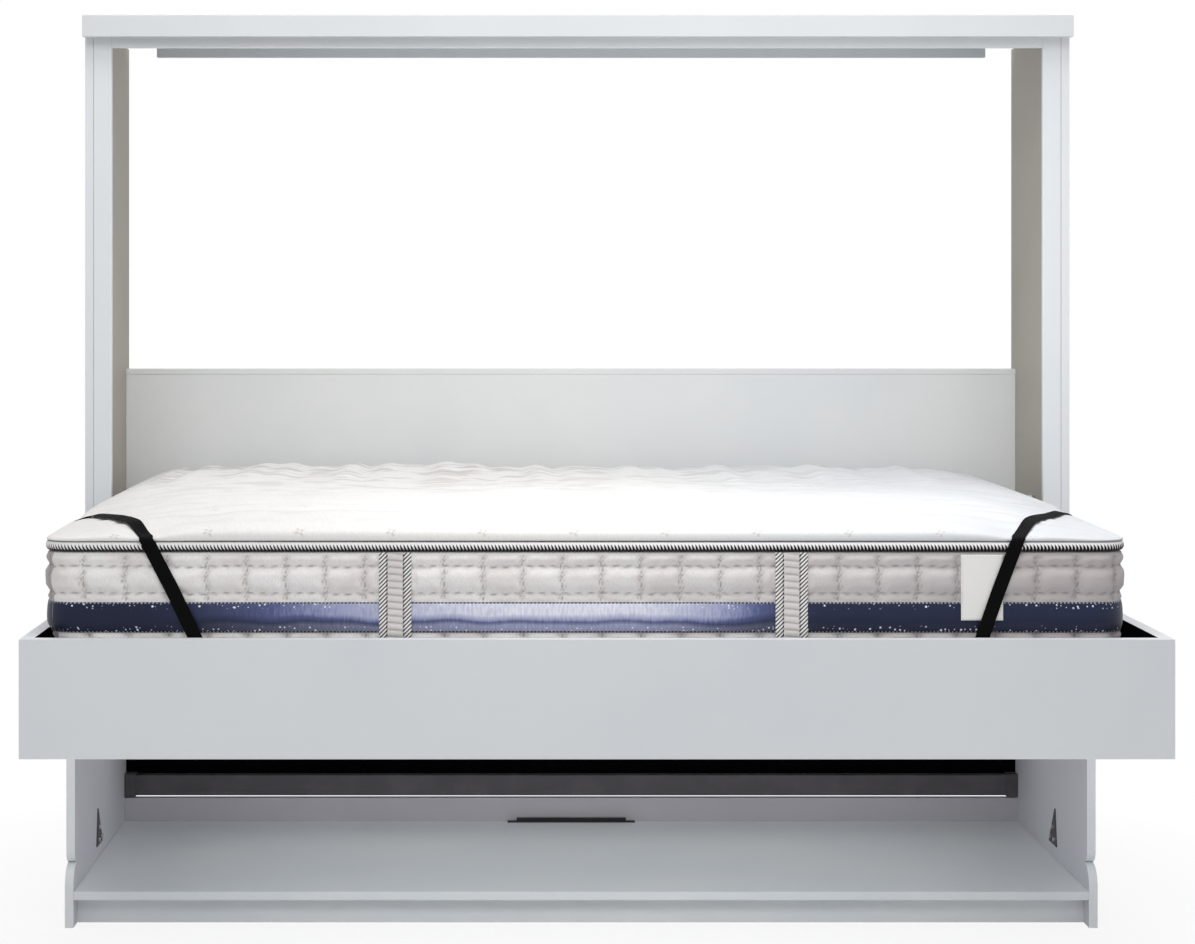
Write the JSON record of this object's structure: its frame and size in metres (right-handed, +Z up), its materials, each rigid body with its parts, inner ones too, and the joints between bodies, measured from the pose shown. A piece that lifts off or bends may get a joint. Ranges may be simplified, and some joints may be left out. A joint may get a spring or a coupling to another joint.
{
  "type": "cabinet bed",
  "caption": "Queen bed that folds up sideways on side pivots and gas struts into a shallow open-backed wall cabinet with a low shelf.",
  "frame": {"origin": "on the floor, middle of the whole object with the bed down", "axes": "+X along the wall to the right seen from the room, +Y towards the wall, +Z up"},
  "size_m": [2.28, 1.703, 2.042],
  "materials": {
    "white_laminate": "white foiled board, satin",
    "headboard_laminate": "pale grey foiled board, satin",
    "grey_laminate": "pale grey foiled board, satin",
    "black_panel": "black hardboard, matt",
    "bare_wood": "planed pine",
    "black_steel": "black powder coat",
    "black_plastic": "black moulded ABS",
    "black_bristle": "black nylon bristle",
    "black_rubber": "black rubber",
    "zinc_steel": "zinc-plated steel",
    "zinc_screws": "zinc-plated screws",
    "bush_polymer": "natural acetal",
    "black_tube": "black enamelled tube",
    "chrome_rod": "ground chromed rod",
    "quilted_knit": "quilted knitted ticking",
    "twisted_cord": "black and white twisted piping",
    "braid": "braided handle tape",
    "label_cloth": "white satin label, blank",
    "spring_steel": "drawn spring steel",
    "black_webbing": "black polyester webbing"
  },
  "bodies": {
    "cabinet": {"base_rear_board": "grey_laminate", "base_shelf": "grey_laminate", "bed_stops": "black_steel", "cabinet_screws": "zinc_screws", "cable_grommet": "black_plastic", "crossbar_sockets": "black_steel", "grommet_brush": "black_bristle", "headboard_cap": "headboard_laminate", "headboard_panel": "headboard_laminate", "joint_gussets": "black_steel", "left_base_cheek": "white_laminate", "left_cabinet_hinge_plate": "zinc_steel", "left_pivot_bush": "bush_polymer", "left_side_panel": "white_laminate", "left_stile": "white_laminate", "left_strut_upper_bracket": "zinc_steel", "lower_back_panel": "black_panel", "rear_crossbar": "black_steel", "right_base_cheek": "white_laminate", "right_cabinet_hinge_plate": "zinc_steel", "right_pivot_bush": "bush_polymer", "right_side_panel": "white_laminate", "right_stile": "white_laminate", "right_strut_upper_bracket": "zinc_steel", "stop_pads": "black_rubber", "toe_kick": "white_laminate", "top_board": "white_laminate", "top_fascia": "white_laminate", "top_rail": "white_laminate", "top_stretcher": "grey_laminate", "wall_brackets": "zinc_steel"},
    "bed": {"bed_bearers": "bare_wood", "bed_screws": "zinc_screws", "bed_slats": "bare_wood", "corner_blocks": "bare_wood", "face_panel": "white_laminate", "front_rail": "white_laminate", "left_bed_hinge_plate": "zinc_steel", "left_side_rail": "white_laminate", "left_strap": "black_webbing", "left_strut_lower_bracket": "zinc_steel", "mattress_border_rods": "spring_steel", "mattress_cover": "quilted_knit", "mattress_handles": "braid", "mattress_label": "label_cloth", "mattress_piping": "twisted_cord", "rear_rail": "white_laminate", "right_bed_hinge_plate": "zinc_steel", "right_side_rail": "white_laminate", "right_strap": "black_webbing", "right_strut_lower_bracket": "zinc_steel", "slat_ledges": "bare_wood", "strap_anchors": "zinc_steel"},
    "left_strut_cylinder": {"left_strut_tube": "black_tube", "left_strut_gland": "bush_polymer"},
    "right_strut_cylinder": {"right_strut_tube": "black_tube", "right_strut_gland": "bush_polymer"},
    "left_strut_piston_rod": {"left_strut_rod": "chrome_rod"},
    "right_strut_piston_rod": {"right_strut_rod": "chrome_rod"}
  },
  "joints": [
    {"name": "bed_tilt", "type": "hinge", "parent": "cabinet", "child": "bed", "pos_m": [0, 0.4365, 0.68], "axis": [-1, 0, 0], "range_deg": [0, 90]},
    {"name": "left_strut_swing", "type": "hinge", "parent": "cabinet", "child": "left_strut_cylinder", "pos_m": [0, 0.60362, 0.87917], "axis": [-1, 0, 0], "range_deg": [0, 45]},
    {"name": "left_rod_swing", "type": "hinge", "parent": "bed", "child": "left_strut_piston_rod", "pos_m": [0, 0.68082, 0.59108], "axis": [-1, 0, 0], "range_deg": [-45, 0]},
    {"name": "right_strut_swing", "type": "hinge", "parent": "cabinet", "child": "right_strut_cylinder", "pos_m": [0, 0.60362, 0.87917], "axis": [-1, 0, 0], "range_deg": [0, 45]},
    {"name": "right_rod_swing", "type": "hinge", "parent": "bed", "child": "right_strut_piston_rod", "pos_m": [0, 0.68082, 0.59108], "axis": [-1, 0, 0], "range_deg": [-45, 0]}
  ],
  "couplings": [
    {"joint": "left_strut_swing", "follows": "bed_tilt", "ratio": 0.5},
    {"joint": "left_rod_swing", "follows": "bed_tilt", "ratio": -0.5},
    {"joint": "right_strut_swing", "follows": "bed_tilt", "ratio": 0.5},
    {"joint": "right_rod_swing", "follows": "bed_tilt", "ratio": -0.5}
  ]
}
